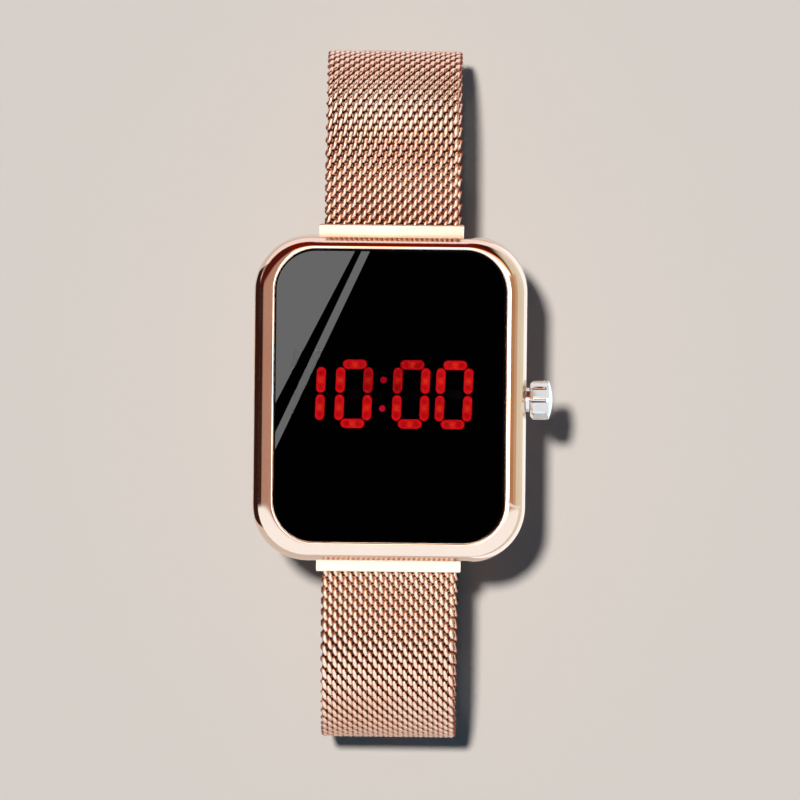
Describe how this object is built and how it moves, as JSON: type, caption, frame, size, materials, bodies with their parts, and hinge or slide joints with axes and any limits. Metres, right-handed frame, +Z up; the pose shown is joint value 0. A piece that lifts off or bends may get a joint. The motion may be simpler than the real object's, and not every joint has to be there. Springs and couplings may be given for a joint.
{
  "type": "digital wristwatch",
  "caption": "Rectangular digital wristwatch with a red light display under dark glass, a side push crown and a woven metal strap closed by a ring and a magnetic flap.",
  "frame": {"origin": "on the table, under the middle of the case, on the flat underside of the folded strap flap", "axes": "+X points to the crown, +Y to the 12 o'clock strap, +Z up out of the display"},
  "size_m": [0.0414, 0.096, 0.0358],
  "materials": {
    "rose_gold": "polished rose gold plating",
    "rose_gold_satin": "brushed rose gold plating",
    "mesh_wire": "rose gold plated steel wire",
    "crown_chrome": "polished",
    "steel": "turned",
    "dark_glass": "black backed mineral glass",
    "black_rubber": "matt",
    "black_plastic": "moulded",
    "smoke_film": "smoked film",
    "led_lit": "lit red diffuser",
    "led_dark": "unlit red diffuser",
    "board_green": "solder mask",
    "chip_black": "moulded package",
    "brass_plated": "plated spring strip",
    "battery_steel": "nickel plated can",
    "magnet_black": "epoxy coated magnet"
  },
  "bodies": {
    "case": {"case_body": "rose_gold", "lens": "dark_glass", "lens_gasket": "black_rubber", "display_filter": "smoke_film", "display_mask": "black_plastic", "led_hour_tens": "led_lit", "led_hour_units": "led_lit", "led_colon": "led_lit", "led_minute_tens": "led_lit", "led_minute_units": "led_lit", "led_unlit_bars": "led_dark", "led_board": "board_green", "board_screws": "steel", "controller_chip": "chip_black", "crystal_can": "steel", "board_resistors": "chip_black", "switch_body": "black_plastic", "module_frame": "black_plastic", "battery": "battery_steel", "battery_contact": "brass_plated", "battery_clip": "brass_plated", "rear_cover": "rose_gold_satin", "rear_gasket": "black_rubber", "rear_screws": "steel", "crown_tube": "crown_chrome", "crown_gasket": "black_rubber", "crown_spring": "steel", "spring_bar_12_tube": "steel", "spring_bar_12_tips": "steel", "spring_bar_12_coil": "steel", "spring_bar_6_tube": "steel", "spring_bar_6_tips": "steel", "spring_bar_6_coil": "steel"},
    "switch_button": {"switch_plunger": "black_plastic"},
    "crown_carrier": {"stem_pad": "black_plastic"},
    "crown_set": {"crown": "crown_chrome", "crown_stem": "steel", "stem_clip": "steel"},
    "strap_12_upper": {"end_piece_12": "rose_gold", "mesh_12_upper": "mesh_wire"},
    "strap_12_lower": {"mesh_12_lower": "mesh_wire"},
    "strap_12_tail": {"mesh_12_tail": "mesh_wire", "clasp_ring": "rose_gold"},
    "strap_6_upper": {"end_piece_6": "rose_gold", "mesh_6_upper": "mesh_wire"},
    "strap_6_lower": {"mesh_6_lower": "mesh_wire"},
    "strap_6_tail": {"mesh_6_tail": "mesh_wire"},
    "strap_6_flap": {"mesh_6_flap": "mesh_wire", "magnet_tip": "rose_gold", "clasp_magnet": "magnet_black"}
  },
  "joints": [
    {"name": "strap_12_swing", "type": "hinge", "parent": "case", "child": "strap_12_upper", "pos_m": [0, 0.0208, 0.0303], "axis": [1, 0, 0], "range_deg": [-10, 10]},
    {"name": "strap_12_bend", "type": "hinge", "parent": "strap_12_upper", "child": "strap_12_lower", "pos_m": [0, 0.0474, 0.0168], "axis": [1, 0, 0], "range_deg": [-20, 20]},
    {"name": "strap_12_tuck", "type": "hinge", "parent": "strap_12_lower", "child": "strap_12_tail", "pos_m": [0, 0.0339, 0.0033], "axis": [1, 0, 0], "range_deg": [-10, 10]},
    {"name": "strap_6_swing", "type": "hinge", "parent": "case", "child": "strap_6_upper", "pos_m": [0, -0.0208, 0.0303], "axis": [1, 0, 0], "range_deg": [-10, 10]},
    {"name": "strap_6_bend", "type": "hinge", "parent": "strap_6_upper", "child": "strap_6_lower", "pos_m": [0, -0.0474, 0.0168], "axis": [1, 0, 0], "range_deg": [-20, 20]},
    {"name": "strap_6_tuck", "type": "hinge", "parent": "strap_6_lower", "child": "strap_6_tail", "pos_m": [0, -0.0339, 0.0033], "axis": [1, 0, 0], "range_deg": [-10, 10]},
    {"name": "flap_lift", "type": "hinge", "parent": "strap_6_tail", "child": "strap_6_flap", "pos_m": [0, 0.008, 0.0006], "axis": [1, 0, 0], "range_deg": [0, 100]},
    {"name": "crown_push", "type": "slide", "parent": "case", "child": "crown_carrier", "axis": [-1, 0, 0], "range_m": [0, 0.0005], "stiffness_N_per_m": 2000, "springref_m": -0.0005, "deforming": ["crown_spring"]},
    {"name": "crown_turn", "type": "hinge", "parent": "crown_carrier", "child": "crown_set", "pos_m": [0.01945, 0, 0.03115], "axis": [1, 0, 0], "continuous": true},
    {"name": "switch_press", "type": "slide", "parent": "case", "child": "switch_button", "axis": [-1, 0, 0], "range_m": [0, 0.0005]}
  ],
  "couplings": [
    {"joint": "strap_12_bend", "follows": "strap_12_swing", "ratio": -2},
    {"joint": "strap_12_tuck", "follows": "strap_12_swing", "ratio": 1},
    {"joint": "strap_6_swing", "follows": "strap_12_swing", "ratio": -1},
    {"joint": "strap_6_bend", "follows": "strap_12_swing", "ratio": 2},
    {"joint": "strap_6_tuck", "follows": "strap_12_swing", "ratio": -1},
    {"joint": "switch_press", "follows": "crown_push", "ratio": 1}
  ]
}
